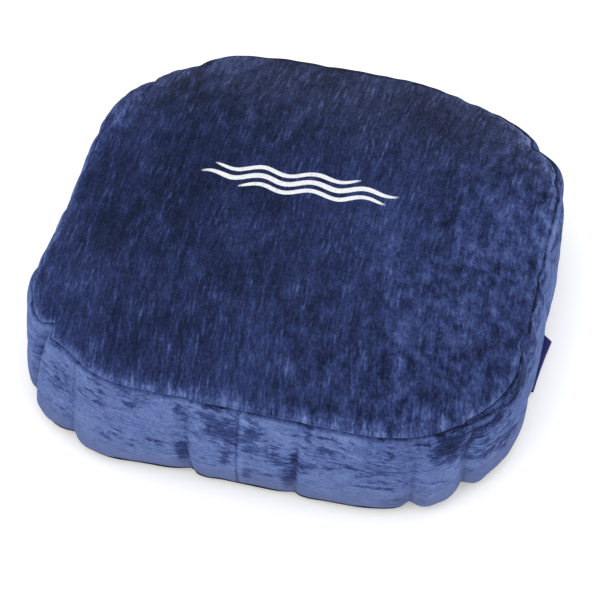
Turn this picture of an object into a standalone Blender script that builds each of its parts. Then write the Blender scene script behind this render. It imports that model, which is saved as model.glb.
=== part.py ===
"""Square wobble cushion: a zipped plush cover over foam, with an air cell at its centre.

Run with: blender --background --python part.py

The origin is the centre of the underside and +Z is up. The join in the side band faces -Y,
the side label is on +X and the zip on +Y. Lengths are in metres.
"""

import math

import bmesh
import bpy
from mathutils import Matrix, Vector

# Outline and height of the made-up cushion
HALF = 0.178  # half of the width at the fullest part of the sides
CORNER_R = 0.100
HEIGHT = 0.087
BOTTOM_SEAM_Z = 0.0045
TOP_SEAM_Z = 0.0747
CORNER_STEPS = 10
STRAIGHT_PART = 0.25  # share of a quarter of the outline that is straight at each end
SAME_STATION = 1e-6  # stations closer than this are one
GAP = 0.0003  # left between pieces that touch
SHARP_ANGLE = math.radians(40)

# Cover
FABRIC = 0.0016
TOP_EDGE_INSET = 0.0088
CROWN_REACH = 0.088  # distance from the edge over which the top rises
CROWN_POWER = 2.2
CROWN_BASE_Z = 0.0768
BASE_PROFILE = ((0.0039, 0.0034), (0.0014, 0.0064), (0.0, 0.0140))
CROWN_STEPS = (0.0, 0.08, 0.2, 0.38, 0.62, 1.0)

# Side band: height and inset of its outer face, bottom seam to top seam
BAND_PROFILE = (
    (BOTTOM_SEAM_Z, 0.0028),
    (0.0090, 0.0004),
    (0.0145, 0.0),
    (0.0500, 0.0),
    (0.0630, 0.0025),
    (TOP_SEAM_Z, 0.0085),
)

# Zip, straight along the flat of the rear side, low down where the cover hardly moves
ZIP_START = 2 - STRAIGHT_PART  # stations at the ends of the two zip bands
ZIP_END = 2 + STRAIGHT_PART
ZIP_Z = 0.020
ZIP_OPENING = 0.0100  # between the edges of the two zip bands
ZIP_HALF = 0.0765
ZIP_SLIT = 0.0014  # left open between the two rows of teeth for the slider's bridge
TAPE = 0.0006
TAPE_WIDTH = 0.0062
TAPE_RECESS = 0.0006  # from the band fabric's inner face to the tape
TOOTH_PITCH = 0.0040
TOOTH_WIDTH = 0.0020
TOOTH_LENGTH = 0.0018
TOOTH_SPINE = 0.0012
TOOTH_DEPTH = 0.0015
TOOTH_ROW_HALF = 0.070
SLIDER_X = 0.0635
SLIDER_LENGTH = 0.015
SLIDER_WIDTH = 0.0090
OUTER_PLATE = 0.0012
INNER_PLATE = 0.0009
PLATE_NOSE = 0.0022  # the plates' corners are cut off by this much
PLATE_CLEARANCE = 0.0002  # from the band's outer face to the outer plate
BRIDGE = 0.0008
BRIDGE_LENGTH = 0.0040
BRIDGE_SETBACK = 0.0020  # from the slider's middle to the bridge
WELDED = 0.0002  # depth by which joined bits of the slider run into each other
EAR = 0.0009
EAR_HALF_LENGTH = 0.0013
PIN_R = 0.0005
PIN_SIDES = 10
PIN_SETBACK = 0.0018  # from the outer plate's face to the pin's axis
PIN_COVER = 0.0012  # from the pin's axis to the ears' outer edge
PULL_LENGTH = 0.022
PULL_WIDTH = 0.0044
PULL_METAL = 0.0006
PULL_EYE_TURNS = range(-90, 201, 29)  # degrees round the pin that the pull's eye covers
PULL_EYE_START = 0.0006  # from the pin's axis to where the flat tab becomes the eye
STOP_LENGTH = 0.0026
STOP_HALF_HEIGHT = 0.0030
STOP_PROUD = 0.0006
STOP_SETBACK = 0.0020  # from the last tooth to the stop

# Foam and wadding
FOAM_INSET = 0.0060
BASE_FOAM_TOP = 0.0080
BASE_FOAM_RINGS = ((0.0019, 0.0165), (0.0036, 0.0100), (BASE_FOAM_TOP, 0.0075))
WALL_TOP = 0.0495
HOLLOW_HALF = 0.1245
VALVE_CHANNEL_HALF = 0.012
SEAT_FOAM_BOTTOM = 0.0498
SEAT_FOAM_SIDE_TOP = 0.0620
SEAT_FOAM_INSET = 0.0080
WADDING_INSET = 0.0125
WADDING = 0.0050
WADDING_DROP = 0.0022  # top face of the wadding below the outer face of the top panel
PAD_HALF = 0.115
PAD_CORNER_R = 0.040
PAD_BOTTOM = 0.0437
PAD_TOP = 0.0492

# Air cell: two welded films and a filler tube in the weld
CELL_HALF = 0.120
CELL_CORNER_R = 0.048
FILM = 0.0008
WELD_WIDTH = 0.006
# Dish of a film: share of its rise, and distance in from the weld's outer edge
DISH = (
    (0.0, 0.0),
    (0.0, WELD_WIDTH),
    (0.30, 0.009),
    (0.72, 0.016),
    (0.95, 0.026),
    (1.0, 0.040),
)
CELL_BOTTOM = 0.0084
CELL_TOP = 0.0434
WELD_Z = 0.02095
TUBE_R = 0.0035
TUBE_BORE_R = 0.0022
TUBE_START_Y = 0.104
TUBE_END_Y = 0.138
TUBE_HOLE_OVERRUN = 0.002  # the films are cut this far past the weld and the tube's inner end
COLLAR_R = 0.0045
COLLAR_LENGTH = 0.004
STEM_R = 0.0019
STEM_LENGTH = 0.010
STEM_TIP = 0.001  # the stem tapers over this length at its inner end
PLUG_HEAD = 0.0032
PLUG_HEAD_STRAIGHT = 0.7  # share of the head before its outer edge tapers
PLUG_TAPER = 0.8  # share of the radius left where the plug tapers
TURNED_SIDES = 20

# Side label, a folded ribbon in the bottom seam
LABEL_X = 0.1756
LABEL_Z = 0.0046
LABEL_REACH = 0.0088
LABEL_DROP = 0.0016
LABEL_CENTRE_Y = -0.018
LABEL_LENGTH = 0.051
RIBBON = 0.0005
RIBBON_FOLD_GAP = 0.0004
RIBBON_FOLD_STEPS = 6


def clear_scene():
    for item in list(bpy.data.objects):
        bpy.data.objects.remove(item, do_unlink=True)


def make_material(name, colour, roughness, metallic=0.0):
    material = bpy.data.materials.new(name)
    material.use_nodes = True
    shader = material.node_tree.nodes["Principled BSDF"]
    shader.inputs["Base Color"].default_value = (*colour, 1.0)
    shader.inputs["Roughness"].default_value = roughness
    shader.inputs["Metallic"].default_value = metallic
    return material


def make_materials():
    return {
        "plush_top": make_material("plush_top", (0.024, 0.034, 0.105), 0.9),
        "plush_side": make_material("plush_side", (0.110, 0.155, 0.370), 0.9),
        "grip_cloth": make_material("grip_cloth", (0.012, 0.012, 0.014), 0.8),
        "ribbon": make_material("ribbon", (0.028, 0.033, 0.200), 0.6),
        "zip_tape": make_material("zip_tape", (0.022, 0.027, 0.080), 0.8),
        "zip_teeth": make_material("zip_teeth", (0.030, 0.036, 0.100), 0.45),
        "zip_metal": make_material("zip_metal", (0.420, 0.430, 0.460), 0.35, 1.0),
        "wadding": make_material("wadding", (0.850, 0.850, 0.830), 1.0),
        "soft_foam": make_material("soft_foam", (0.800, 0.740, 0.520), 1.0),
        "firm_foam": make_material("firm_foam", (0.300, 0.340, 0.400), 1.0),
        "felt": make_material("felt", (0.450, 0.440, 0.420), 1.0),
        "vinyl_film": make_material("vinyl_film", (0.260, 0.360, 0.520), 0.3),
        "valve": make_material("valve", (0.700, 0.720, 0.740), 0.4),
    }


def add_object(name, bm, material, smooth=True, closed=True):
    """Turn a bmesh into a named object. A closed body gets its faces pointing out."""
    if closed:
        bmesh.ops.recalc_face_normals(bm, faces=bm.faces[:])
    mesh = bpy.data.meshes.new(name)
    bm.to_mesh(mesh)
    bm.free()
    if smooth:
        mesh.shade_smooth()
        mesh.set_sharp_from_angle(angle=SHARP_ANGLE)
    item = bpy.data.objects.new(name, mesh)
    item.data.materials.append(material)
    bpy.context.scene.collection.objects.link(item)
    return item


def set_origin(item, point):
    """Move an object's origin to a point of the frame and leave its shape where it is."""
    item.data.transform(Matrix.Translation(-Vector(point)))
    item.location = point


def thicken(item, thickness):
    """Give a sheet its thickness on the side that its faces point away from."""
    solidify = item.modifiers.new("thickness", "SOLIDIFY")
    solidify.thickness = thickness
    solidify.offset = -1.0
    solidify.use_even_offset = True


def boolean(item, other, operation):
    modifier = item.modifiers.new(operation.lower(), "BOOLEAN")
    modifier.object = other
    modifier.operation = operation
    modifier.solver = "EXACT"
    other.hide_render = True
    other.display_type = "WIRE"


def outline_point(station, half, corner_r):
    """A point of a rounded square. Stations 0, 1, 2 and 3 are the middles of the front,
    right, rear and left sides, and a corner's arc lies midway between each two of them."""
    quadrant = math.floor(station)
    part = station - quadrant
    run = half - corner_r
    arc_part = 1.0 - 2 * STRAIGHT_PART
    if part < STRAIGHT_PART:
        point = Vector((run * part / STRAIGHT_PART, -half))
    elif part <= STRAIGHT_PART + arc_part:
        turn = (part - STRAIGHT_PART) / arc_part * math.pi / 2
        point = Vector((run + corner_r * math.sin(turn), -run - corner_r * math.cos(turn)))
    else:
        point = Vector((half, run * (part - 1.0) / STRAIGHT_PART))
    return Matrix.Rotation(quadrant * math.pi / 2, 2) @ point


def stations_between(start, end):
    """Stations of a strip: its two ends, and each mark of the outline between them."""
    marks = []
    arc_part = 1.0 - 2 * STRAIGHT_PART
    for quadrant in range(4):
        marks.append(quadrant)
        marks += [quadrant + STRAIGHT_PART + arc_part * step / CORNER_STEPS
                  for step in range(CORNER_STEPS + 1)]
    inner = [mark for mark in marks if start + SAME_STATION < mark < end - SAME_STATION]
    return [start, *inner, end]


RING_STATIONS = stations_between(0.0, 4.0)[:-1]


def row(bm, stations, half, corner_r, z):
    """A row of vertices at one height along an outline."""
    points = [outline_point(station, half, corner_r) for station in stations]
    return [bm.verts.new((point.x, point.y, z)) for point in points]


def join_rows(bm, first, second, closed):
    """Faces between two rows, pointing out where the second row is the upper one."""
    count = len(first)
    for index in range(count if closed else count - 1):
        after = (index + 1) % count
        bm.faces.new((first[index], first[after], second[after], second[index]))


def ring_body(name, profile, material, half=HALF, corner_r=CORNER_R):
    """A closed body from rings, listed bottom to top as height and inset, with flat ends."""
    bm = bmesh.new()
    rings = [row(bm, RING_STATIONS, half - inset, corner_r - inset, z) for z, inset in profile]
    for lower, upper in zip(rings, rings[1:]):
        join_rows(bm, lower, upper, closed=True)
    bm.faces.new(list(reversed(rings[0])))
    bm.faces.new(rings[-1])
    return add_object(name, bm, material)


def ring_sheet(name, profile, thickness, material, faces_up, half=HALF, corner_r=CORNER_R):
    """A sheet from rings, listed from its edge to its flat middle, then thickened inwards."""
    bm = bmesh.new()
    rings = [row(bm, RING_STATIONS, half - inset, corner_r - inset, z) for z, inset in profile]
    for outer, inner in zip(rings, rings[1:]):
        join_rows(bm, outer, inner, closed=True)
    bm.faces.new(rings[-1])
    if not faces_up:
        bmesh.ops.reverse_faces(bm, faces=bm.faces[:])
    sheet = add_object(name, bm, material, closed=False)
    thicken(sheet, thickness)
    return sheet


def band_sheet(name, start, end, profile, material):
    """A stretch of the side band between two stations."""
    bm = bmesh.new()
    stations = stations_between(start, end)
    rows = [row(bm, stations, HALF - inset, CORNER_R - inset, z) for z, inset in profile]
    for lower, upper in zip(rows, rows[1:]):
        join_rows(bm, lower, upper, closed=False)
    band = add_object(name, bm, material, closed=False)
    thicken(band, FABRIC)
    return band


def extruded(name, outline, extent, axis, material, smooth=False):
    """A closed outline of (u, v) points pushed along X, Y or Z between the two ends of extent.
    The outline's plane is YZ, XZ or XY."""
    bm = bmesh.new()
    slot = "XYZ".index(axis)

    def place(u, v, w):
        point = [u, v]
        point.insert(slot, w)
        return point

    ends = [[bm.verts.new(place(u, v, w)) for u, v in outline] for w in extent]
    join_rows(bm, ends[0], ends[1], closed=True)
    bm.faces.new(list(reversed(ends[0])))
    bm.faces.new(ends[1])
    return add_object(name, bm, material, smooth=smooth)


def box(name, low, high, material):
    outline = ((low[0], low[1]), (high[0], low[1]), (high[0], high[1]), (low[0], high[1]))
    return extruded(name, outline, (low[2], high[2]), "Z", material)


def turned(name, profile, centre_z, material, open_bore):
    """A body turned about a line along Y through x = 0. The profile lists (y, radius).
    With an open bore the profile is a closed loop; without, its two ends are flat discs."""
    bm = bmesh.new()
    rings = []
    for y, radius in profile:
        angles = [2 * math.pi * side / TURNED_SIDES for side in range(TURNED_SIDES)]
        places = [(radius * math.sin(a), y, centre_z + radius * math.cos(a)) for a in angles]
        rings.append([bm.verts.new(place) for place in places])
    for first, second in zip(rings, rings[1:]):
        join_rows(bm, first, second, closed=True)
    if open_bore:
        join_rows(bm, rings[-1], rings[0], closed=True)
    else:
        bm.faces.new(list(reversed(rings[0])))
        bm.faces.new(rings[-1])
    return add_object(name, bm, material)


def thick_path(path, thickness):
    """Outline of a strip of constant thickness that follows a path in a plane."""
    left = []
    right = []
    points = [Vector(point) for point in path]
    for index, point in enumerate(points):
        before = points[max(index - 1, 0)]
        after = points[min(index + 1, len(points) - 1)]
        along = (after - before).normalized()
        side = Vector((-along.y, along.x)) * thickness / 2
        left.append(point + side)
        right.append(point - side)
    return [*left, *reversed(right)]


def crown_z(inset):
    """Height of the top panel's outer face at a distance in from the cushion's outline."""
    reach = min((inset - TOP_EDGE_INSET) / CROWN_REACH, 1.0)
    return CROWN_BASE_Z + (HEIGHT - CROWN_BASE_Z) * (1 - (1 - reach) ** CROWN_POWER)


def crown_profile(first_inset, drop):
    """Rings of the crowned top from a first inset to its flat middle, lowered by drop."""
    last_inset = TOP_EDGE_INSET + CROWN_REACH
    insets = [first_inset + (last_inset - first_inset) * step for step in CROWN_STEPS]
    return [(crown_z(inset) - drop, inset) for inset in insets]


def build_cover(materials):
    """Top and bottom panels, and the side band in two strips that meet at the front join."""
    top = crown_profile(TOP_EDGE_INSET, 0.0)
    ring_sheet("top_panel", top, FABRIC, materials["plush_top"], faces_up=True)
    ring_sheet("bottom_panel", BASE_PROFILE, FABRIC, materials["grip_cloth"], faces_up=False)

    half_gap = STRAIGHT_PART * (GAP / 2) / (HALF - CORNER_R)
    plush = materials["plush_side"]
    band_sheet("boxing_right", half_gap, ZIP_START - half_gap, BAND_PROFILE, plush)
    band_sheet("boxing_left", ZIP_END + half_gap, 4 - half_gap, BAND_PROFILE, plush)
    lower_edge = ZIP_Z - ZIP_OPENING / 2
    upper_edge = ZIP_Z + ZIP_OPENING / 2
    lower = [*[point for point in BAND_PROFILE if point[0] < lower_edge], (lower_edge, 0.0)]
    upper = [(upper_edge, 0.0), *[point for point in BAND_PROFILE if point[0] > upper_edge]]
    ends = (ZIP_START + half_gap, ZIP_END - half_gap)
    band_sheet("zip_band_lower", *ends, lower, plush)
    band_sheet("zip_band_upper", *ends, upper, plush)


def build_label(materials):
    """Ribbon folded double and caught in the bottom seam of the right side."""
    fold_r = (RIBBON_FOLD_GAP + RIBBON) / 2
    slope = Vector((LABEL_REACH, -LABEL_DROP)).normalized()
    lift = Vector((-slope.y, slope.x)) * fold_r
    root = Vector((LABEL_X, LABEL_Z))
    tip = root + slope * LABEL_REACH
    fold = [tip + slope * fold_r * math.sin(a) + lift * math.cos(a)
            for a in (math.pi * step / RIBBON_FOLD_STEPS for step in range(1, RIBBON_FOLD_STEPS))]
    path = [root + lift, tip + lift, *fold, tip - lift, root - lift]
    extent = (LABEL_CENTRE_Y - LABEL_LENGTH / 2, LABEL_CENTRE_Y + LABEL_LENGTH / 2)
    extruded("side_label", thick_path(path, RIBBON), extent, "Y", materials["ribbon"])


def tooth_row(name, direction, materials):
    """One row of zip teeth: a comb whose teeth point at the slit."""
    tip = ZIP_Z + direction * ZIP_SLIT / 2
    root = tip + direction * TOOTH_LENGTH
    back = root + direction * TOOTH_SPINE
    outline = [(TOOTH_ROW_HALF, back), (-TOOTH_ROW_HALF, back)]
    teeth = round(2 * TOOTH_ROW_HALF / TOOTH_PITCH)
    for tooth in range(teeth):
        start = -TOOTH_ROW_HALF + tooth * TOOTH_PITCH
        outline += [(start, tip), (start + TOOTH_WIDTH, tip)]
        outline += [(start + TOOTH_WIDTH, root), (start + TOOTH_PITCH, root)]
    inner_y = HALF - FABRIC
    extruded(name, outline, (inner_y, inner_y + TOOTH_DEPTH), "Y", materials["zip_teeth"])


def build_zip(materials):
    """Tapes, teeth and stops, fixed to the zip bands."""
    tape_outer = HALF - FABRIC - TAPE_RECESS
    for name, direction in (("upper", 1), ("lower", -1)):
        near = ZIP_Z + direction * ZIP_SLIT / 2
        far = near + direction * TAPE_WIDTH
        low = (-ZIP_HALF, tape_outer - TAPE, min(near, far))
        high = (ZIP_HALF, tape_outer, max(near, far))
        box("zip_tape_" + name, low, high, materials["zip_tape"])
        tooth_row("zip_coil_" + name, direction, materials)
    for name, side in (("right", 1), ("left", -1)):
        near = side * (TOOTH_ROW_HALF + STOP_SETBACK)
        far = near + side * STOP_LENGTH
        low = (min(near, far), HALF - FABRIC, ZIP_Z - STOP_HALF_HEIGHT)
        high = (max(near, far), HALF + STOP_PROUD, ZIP_Z + STOP_HALF_HEIGHT)
        box("zip_stop_" + name, low, high, materials["zip_metal"])


def build_slider(materials):
    """Slider: plates each side of the tapes, the bridge between them, and the pull's pin."""
    metal = materials["zip_metal"]
    tape_inner = HALF - FABRIC - TAPE_RECESS - TAPE
    inner_low = tape_inner - GAP - INNER_PLATE
    outer_low = HALF + PLATE_CLEARANCE
    outer_high = outer_low + OUTER_PLATE
    pin_y = outer_high + PIN_SETBACK
    reach = SLIDER_LENGTH / 2
    across = SLIDER_WIDTH / 2
    nose = PLATE_NOSE

    def plate(name, y_low, y_high):
        left = SLIDER_X - reach
        right = SLIDER_X + reach
        outline = (
            (left, ZIP_Z - across + nose),
            (left + nose, ZIP_Z - across),
            (right - nose, ZIP_Z - across),
            (right, ZIP_Z - across + nose),
            (right, ZIP_Z + across - nose),
            (right - nose, ZIP_Z + across),
            (left + nose, ZIP_Z + across),
            (left, ZIP_Z + across - nose),
        )
        return extruded(name, outline, (y_low, y_high), "Y", metal)

    slider = plate("zip_slider", outer_low, outer_high)
    bridge_x = SLIDER_X + BRIDGE_SETBACK
    boolean(slider, box("slider_bridge",
                        (bridge_x, inner_low + WELDED, ZIP_Z - BRIDGE / 2),
                        (bridge_x + BRIDGE_LENGTH, outer_low + WELDED, ZIP_Z + BRIDGE / 2),
                        metal), "UNION")
    boolean(slider, plate("slider_inner_plate", inner_low, inner_low + INNER_PLATE), "UNION")
    ear_inner = PULL_WIDTH / 2 + GAP
    for name, side in (("slider_ear_upper", 1), ("slider_ear_lower", -1)):
        near = ZIP_Z + side * ear_inner
        far = near + side * EAR
        boolean(slider, box(name,
                            (SLIDER_X - EAR_HALF_LENGTH, outer_high - WELDED, min(near, far)),
                            (SLIDER_X + EAR_HALF_LENGTH, pin_y + PIN_COVER, max(near, far)),
                            metal), "UNION")
    pin = [(SLIDER_X + PIN_R * math.cos(a), pin_y + PIN_R * math.sin(a))
           for a in (2 * math.pi * side / PIN_SIDES for side in range(PIN_SIDES))]
    pin_reach = ear_inner + EAR / 2
    boolean(slider, extruded("slider_pin", pin, (ZIP_Z - pin_reach, ZIP_Z + pin_reach), "Z",
                             metal), "UNION")
    build_pull(materials, pin_y)


def build_pull(materials, pin_y):
    """Pull tab, rolled round the slider's pin and lying flat towards -X."""
    eye_r = PIN_R + GAP + PULL_METAL / 2
    turns = [math.radians(angle) for angle in PULL_EYE_TURNS]
    eye = [(SLIDER_X + eye_r * math.cos(a), pin_y + eye_r * math.sin(a)) for a in turns]
    flat_y = pin_y - eye_r
    tab = [(SLIDER_X - PULL_LENGTH, flat_y), (SLIDER_X - PULL_EYE_START, flat_y)]
    outline = thick_path([*tab, *eye], PULL_METAL)
    extent = (ZIP_Z - PULL_WIDTH / 2, ZIP_Z + PULL_WIDTH / 2)
    pull = extruded("zip_pull", outline, extent, "Z", materials["zip_metal"])
    set_origin(pull, (SLIDER_X, pin_y, ZIP_Z))


def foam_block(name, planes, material):
    """A wall of foam: the foam's outline between the base foam and the seat foam, cut away
    beyond each plane, given as a point and the normal of the side that goes."""
    bm = bmesh.new()
    heights = (BASE_FOAM_TOP + GAP, WALL_TOP)
    half = HALF - FOAM_INSET
    corner_r = CORNER_R - FOAM_INSET
    rings = [row(bm, RING_STATIONS, half, corner_r, z) for z in heights]
    join_rows(bm, rings[0], rings[1], closed=True)
    bm.faces.new(list(reversed(rings[0])))
    bm.faces.new(rings[1])
    for point, normal in planes:
        bmesh.ops.bisect_plane(bm, geom=bm.verts[:] + bm.edges[:] + bm.faces[:],
                               plane_co=point, plane_no=normal, clear_outer=True)
        rim = [edge for edge in bm.edges if edge.is_boundary]
        bmesh.ops.contextual_create(bm, geom=rim)
    return add_object(name, bm, material)


def build_foam(materials):
    """Base foam, five wall blocks round the air cell, felt pad, seat foam and wadding."""
    firm = materials["firm_foam"]
    ring_body("base_foam", BASE_FOAM_RINGS, firm)

    hollow = HOLLOW_HALF
    side = hollow - GAP
    channel = VALVE_CHANNEL_HALF
    foam_block("foam_wall_front", [((0, -hollow, 0), (0, 1, 0))], firm)
    foam_block("foam_wall_rear_right",
               [((0, hollow, 0), (0, -1, 0)), ((channel, 0, 0), (-1, 0, 0))], firm)
    foam_block("foam_wall_rear_left",
               [((0, hollow, 0), (0, -1, 0)), ((-channel, 0, 0), (1, 0, 0))], firm)
    between = [((0, side, 0), (0, 1, 0)), ((0, -side, 0), (0, -1, 0))]
    foam_block("foam_wall_right", [((hollow, 0, 0), (-1, 0, 0)), *between], firm)
    foam_block("foam_wall_left", [((-hollow, 0, 0), (1, 0, 0)), *between], firm)

    ring_body("rocker_pad", ((PAD_BOTTOM, 0.0), (PAD_TOP, 0.0)), materials["felt"],
              half=PAD_HALF, corner_r=PAD_CORNER_R)

    foam_drop = WADDING_DROP + WADDING + GAP
    seat = [(SEAT_FOAM_BOTTOM, SEAT_FOAM_INSET), (SEAT_FOAM_SIDE_TOP, SEAT_FOAM_INSET)]
    seat += crown_profile(WADDING_INSET, foam_drop)
    ring_body("comfort_foam", seat, materials["soft_foam"])
    upper = crown_profile(WADDING_INSET, WADDING_DROP)
    lower = crown_profile(WADDING_INSET, WADDING_DROP + WADDING)
    ring_body("top_wadding", [*reversed(lower), *upper], materials["wadding"])


def film_sheet(name, flange_z, crest_z, materials, faces_up):
    """One film of the air cell: a flat weld round the edge and a dished middle."""
    rise = crest_z - flange_z
    profile = [(flange_z + rise * share, inset) for share, inset in DISH]
    return ring_sheet(name, profile, FILM, materials["vinyl_film"], faces_up,
                      half=CELL_HALF, corner_r=CELL_CORNER_R)


def build_air_cell(materials):
    """Upper and lower film, the filler tube welded between them at the rear, and its plug."""
    weld_face = GAP / 2 + FILM
    upper = film_sheet("air_cell_upper", WELD_Z + weld_face, CELL_TOP, materials, faces_up=True)
    lower = film_sheet("air_cell_lower", WELD_Z - weld_face, CELL_BOTTOM, materials, faces_up=False)
    hole_r = TUBE_R + GAP
    hole_start = TUBE_START_Y - TUBE_HOLE_OVERRUN
    hole_end = CELL_HALF + TUBE_HOLE_OVERRUN
    hole = turned("tube_hole", ((hole_start, hole_r), (hole_end, hole_r)), WELD_Z,
                  materials["valve"], open_bore=False)
    boolean(upper, hole, "DIFFERENCE")
    boolean(lower, hole, "DIFFERENCE")

    collar_y = TUBE_END_Y - COLLAR_LENGTH
    tube = (
        (TUBE_START_Y, TUBE_BORE_R),
        (TUBE_START_Y, TUBE_R),
        (collar_y, TUBE_R),
        (collar_y, COLLAR_R),
        (TUBE_END_Y, COLLAR_R),
        (TUBE_END_Y, TUBE_BORE_R),
    )
    turned("filler_tube", tube, WELD_Z, materials["valve"], open_bore=True)

    head_y = TUBE_END_Y + GAP
    plug_profile = (
        (head_y - STEM_LENGTH, STEM_R * PLUG_TAPER),
        (head_y - STEM_LENGTH + STEM_TIP, STEM_R),
        (head_y, STEM_R),
        (head_y, COLLAR_R),
        (head_y + PLUG_HEAD * PLUG_HEAD_STRAIGHT, COLLAR_R),
        (head_y + PLUG_HEAD, COLLAR_R * PLUG_TAPER),
    )
    plug = turned("valve_plug", plug_profile, WELD_Z, materials["valve"], open_bore=False)
    set_origin(plug, (0.0, head_y, WELD_Z))


def main():
    clear_scene()
    materials = make_materials()
    build_cover(materials)
    build_label(materials)
    build_zip(materials)
    build_slider(materials)
    build_foam(materials)
    build_air_cell(materials)


main()
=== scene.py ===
"""Looks of the square wobble cushion: crushed plush cover by cloth simulation, emblem, label,
zip, and the foam and air cell inside. Lengths are in metres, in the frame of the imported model.
"""

import math

import bmesh
import bpy
import numpy as np
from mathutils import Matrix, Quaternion, Vector, noise
from mathutils.bvhtree import BVHTree


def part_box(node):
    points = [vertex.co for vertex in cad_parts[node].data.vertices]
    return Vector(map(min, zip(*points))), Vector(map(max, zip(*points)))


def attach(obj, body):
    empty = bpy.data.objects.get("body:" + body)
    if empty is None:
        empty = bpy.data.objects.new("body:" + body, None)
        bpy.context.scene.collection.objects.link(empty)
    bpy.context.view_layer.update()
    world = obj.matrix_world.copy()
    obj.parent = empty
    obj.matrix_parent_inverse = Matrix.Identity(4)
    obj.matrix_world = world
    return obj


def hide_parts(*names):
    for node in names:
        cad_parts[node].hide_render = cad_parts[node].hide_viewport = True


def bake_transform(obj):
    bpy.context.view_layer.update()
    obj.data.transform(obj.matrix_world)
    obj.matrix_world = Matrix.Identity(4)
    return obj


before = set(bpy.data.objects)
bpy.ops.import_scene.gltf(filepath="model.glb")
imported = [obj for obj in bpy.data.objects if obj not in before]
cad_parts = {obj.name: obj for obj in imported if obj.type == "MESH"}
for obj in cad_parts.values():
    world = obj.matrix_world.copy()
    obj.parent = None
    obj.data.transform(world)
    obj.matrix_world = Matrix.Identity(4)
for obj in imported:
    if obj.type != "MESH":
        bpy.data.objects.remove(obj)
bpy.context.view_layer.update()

# Measures read from the frame
band_low, band_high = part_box("boxing_right")
zip_low, zip_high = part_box("zip_band_upper")
HALF = band_high.x
RUN = zip_high.x  # the straight part of each side reaches this far from its middle
CORNER_R = HALF - RUN
BOTTOM_SEAM = band_low.z
TOP_SEAM = band_high.z
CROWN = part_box("top_panel")[1].z
TOP_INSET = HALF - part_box("top_panel")[1].x
BOTTOM_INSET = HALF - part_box("bottom_panel")[1].x
OPENING_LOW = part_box("zip_band_lower")[1].z
OPENING_HIGH = zip_low.z
QUARTER = 2 * RUN + CORNER_R * math.pi / 2  # length of a quarter of the outline

# Heights that bound the cover's three bands; it is cut into them at the middle two
LEVELS = (0.0265, 0.0425, 0.0585, 0.0735)
BANDS = (("low", "base", "air_top"), ("mid", "air_top", "rocker"), ("high", "rocker", "seat"))

CELLS = 64  # cells of the cover's cloth along one side of the top panel
EDGE_ROLL = 0.0026
EDGE_ROLL_REACH = 0.0035
CROWN_REACH = 0.080  # distance from the top seam over which the top panel rises
CROWN_POWER = 2.2
SQUARENESS = 2.2  # how quickly a panel's rings of cells turn square towards its middle
TUCK_REACH = 0.006  # the side band curves in to the bottom seam within this height
LEAN_START = 0.046  # height where the side band begins to lean in
UPPER_ROWS = 11
ZIP_START = 1.75  # turns at the ends of the zip bands
ZIP_END = 2.25
SWELL = 0.0045  # room left for the top panel to swell
SIDE_SWELL = 0.0032  # and for the side band


def smooth(low, high, value):
    t = np.clip((value - low) / (high - low), 0, 1)
    return t * t * (3 - 2 * t)


def bump(value, centre, width):
    return np.exp(-(((value - centre) / width) ** 2))


def band_share(z):
    """Height as a share of the side band's, from the bottom seam to the top seam."""
    return (z - BOTTOM_SEAM) / (TOP_SEAM - BOTTOM_SEAM)


def link(item):
    bpy.context.scene.collection.objects.link(item)


# --- camera, light, floor

AZIMUTH = math.radians(12.98)
ELEVATION = math.radians(47.02)
ROLL = math.radians(1.62)
DISTANCE = 1.30
LENS = 109.9
AIM = Vector((0.0055, -0.0289, 0.0350))


def make_camera():
    data = bpy.data.cameras.new("camera")
    data.lens = LENS
    data.sensor_width = 36
    camera = bpy.data.objects.new("camera", data)
    back = Vector((math.sin(AZIMUTH) * math.cos(ELEVATION),
                   -math.cos(AZIMUTH) * math.cos(ELEVATION),
                   math.sin(ELEVATION)))
    camera.location = AIM + back * DISTANCE
    camera.rotation_mode = "QUATERNION"
    camera.rotation_quaternion = (-back).to_track_quat("-Z", "Y") @ Quaternion((0, 0, 1), ROLL)
    link(camera)
    bpy.context.scene.camera = camera


def area_light(name, place, aim, size, watts):
    data = bpy.data.lights.new(name, "AREA")
    data.shape = "DISK"
    data.size = size
    data.energy = watts
    light = bpy.data.objects.new(name, data)
    light.location = place
    light.rotation_euler = (Vector(aim) - Vector(place)).to_track_quat("-Z", "Y").to_euler()
    link(light)


def make_studio():
    scene = bpy.context.scene
    scene.view_settings.view_transform = "Standard"
    world = bpy.data.worlds.new("studio")
    world.use_nodes = True
    background = world.node_tree.nodes["Background"]
    background.inputs["Color"].default_value = (1.0, 1.0, 1.0, 1.0)
    background.inputs["Strength"].default_value = 1.0
    scene.world = world
    area_light("key_light", (-0.9, -1.6, 1.9), (0, 0, 0.04), 1.4, 10)
    area_light("fill_light", (1.5, -1.2, 1.2), (0, 0, 0.04), 1.2, 3)

    bpy.ops.mesh.primitive_plane_add(size=8, location=(0, 0, -0.0004))
    floor = bpy.context.object
    floor.name = "studio_floor"
    white = Nodes("studio_floor").finish((0.93, 0.93, 0.93, 1), 1.0, Specular_IOR_Level=0.0,
                                         Emission_Color=(1, 1, 1, 1), Emission_Strength=0.24)
    floor.data.materials.append(white)


# --- materials

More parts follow.
